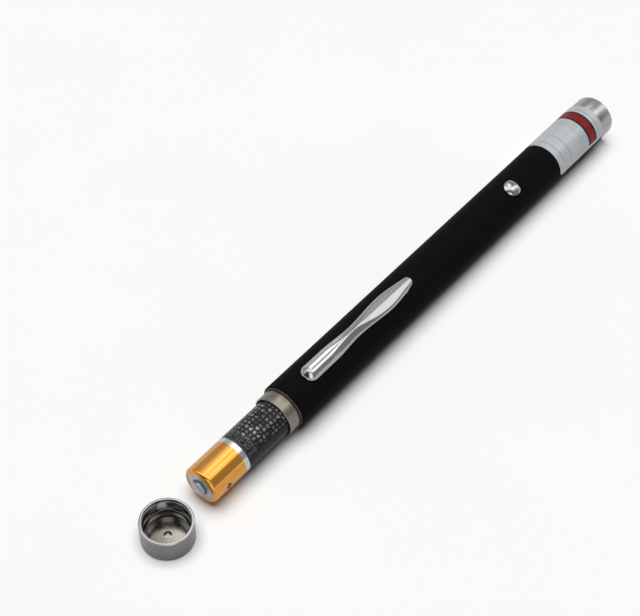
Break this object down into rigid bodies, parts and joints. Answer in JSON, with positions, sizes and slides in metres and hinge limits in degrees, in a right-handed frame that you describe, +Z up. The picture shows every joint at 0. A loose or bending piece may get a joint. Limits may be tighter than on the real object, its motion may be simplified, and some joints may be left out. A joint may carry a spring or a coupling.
{
  "type": "laser pointer",
  "caption": "Pen-shaped laser pointer with a pocket clip and push button, shown with its tail cap off and its cells slid part of the way out.",
  "frame": {"origin": "on the table under the middle of everything that stands or lies there: the barrel, the cells and the cap", "axes": "+X along the barrel towards the laser end, +Y across the barrel, +Z up from the table"},
  "size_m": [0.195, 0.0142, 0.0152],
  "materials": {
    "black_paint": "matte black paint on a metal tube",
    "bright_plating": "bright nickel or chromium plating",
    "brushed_nickel": "warm grey brushed plating",
    "satin_plating": "satin plating with turning marks",
    "label_foil": "silver-white foil with printed red and black bands",
    "spring_steel": "plated spring steel",
    "tinned_metal": "tin-plated contact metal",
    "switch_plastic": "black moulded plastic",
    "white_plastic": "natural moulded plastic",
    "circuit_board": "green solder mask on glass laminate",
    "trimmer_body": "pale moulded trimmer",
    "chip_body": "dark chip parts with tinned ends",
    "capacitor_body": "tan chip parts with tinned ends",
    "transistor_body": "black moulding with tinned legs",
    "module_brass": "turned brass",
    "diode_plating": "gold-plated can and flange",
    "lens_glass": "clear lens",
    "cell_steel": "nickel-plated steel",
    "cell_filling": "packed powder",
    "cell_sleeve": "printed sleeve: amber end, silver ring, charcoal body",
    "seal_plastic": "black plastic ring"
  },
  "bodies": {
    "barrel": {"barrel_tube": "black_paint", "tail_collar": "brushed_nickel", "front_ferrule": "satin_plating", "label_wrap": "label_foil", "switch_base": "switch_plastic", "switch_cover": "tinned_metal", "switch_terminals": "tinned_metal", "driver_board": "circuit_board", "trim_potentiometer": "trimmer_body", "driver_transistor": "transistor_body", "chip_resistors": "chip_body", "chip_capacitors": "capacitor_body", "board_carrier": "white_plastic", "spring_plate": "tinned_metal", "battery_spring": "spring_steel", "module_housing": "module_brass", "laser_diode": "diode_plating", "diode_leads": "tinned_metal", "lens_holder": "module_brass", "collimating_lens": "lens_glass", "lens_spring": "spring_steel"},
    "button": {"button_cap": "bright_plating", "button_stem": "white_plastic"},
    "switch_plunger": {"switch_plunger": "switch_plastic"},
    "clip": {"pocket_clip": "bright_plating"},
    "outer_cell": {"outer_cell_can": "cell_steel", "outer_cell_core": "cell_filling", "outer_cell_jacket": "cell_sleeve", "outer_cell_seal": "seal_plastic", "outer_cell_base": "cell_steel"},
    "inner_cell": {"inner_cell_can": "cell_steel", "inner_cell_core": "cell_filling", "inner_cell_jacket": "cell_sleeve", "inner_cell_seal": "seal_plastic", "inner_cell_base": "cell_steel"},
    "tail_cap": {"cap_shell": "bright_plating", "cap_contact": "tinned_metal"}
  },
  "joints": [
    {"name": "button_press", "type": "slide", "parent": "barrel", "child": "button", "axis": [0, 0.309, -0.9511], "range_m": [0, 0.00035], "stiffness_N_per_m": 150, "springref_m": -0.001},
    {"name": "plunger_press", "type": "slide", "parent": "barrel", "child": "switch_plunger", "axis": [0, 0.309, -0.9511], "range_m": [0, 0.00035]},
    {"name": "clip_flex", "type": "hinge", "parent": "barrel", "child": "clip", "pos_m": [-0.04038, -0.00077, 0.0132], "axis": [0, -0.9848, -0.1736], "range_deg": [0, 4], "stiffness_Nm_per_rad": 0.3, "springref_deg": -1.15},
    {"name": "outer_cell_slide", "type": "slide", "parent": "barrel", "child": "outer_cell", "axis": [1, 0, 0], "range_m": [-0.0035, 0.02635]},
    {"name": "inner_cell_slide", "type": "slide", "parent": "barrel", "child": "inner_cell", "axis": [1, 0, 0], "range_m": [-0.0035, 0.02635], "deforming": ["battery_spring"]},
    {"name": "cap_lift", "type": "slide", "parent": "barrel", "child": "tail_cap", "axis": [0, 0, 1], "range_m": [0, 0.03]}
  ],
  "couplings": [
    {"joint": "plunger_press", "follows": "button_press", "ratio": 1},
    {"joint": "inner_cell_slide", "follows": "outer_cell_slide", "ratio": 1}
  ]
}
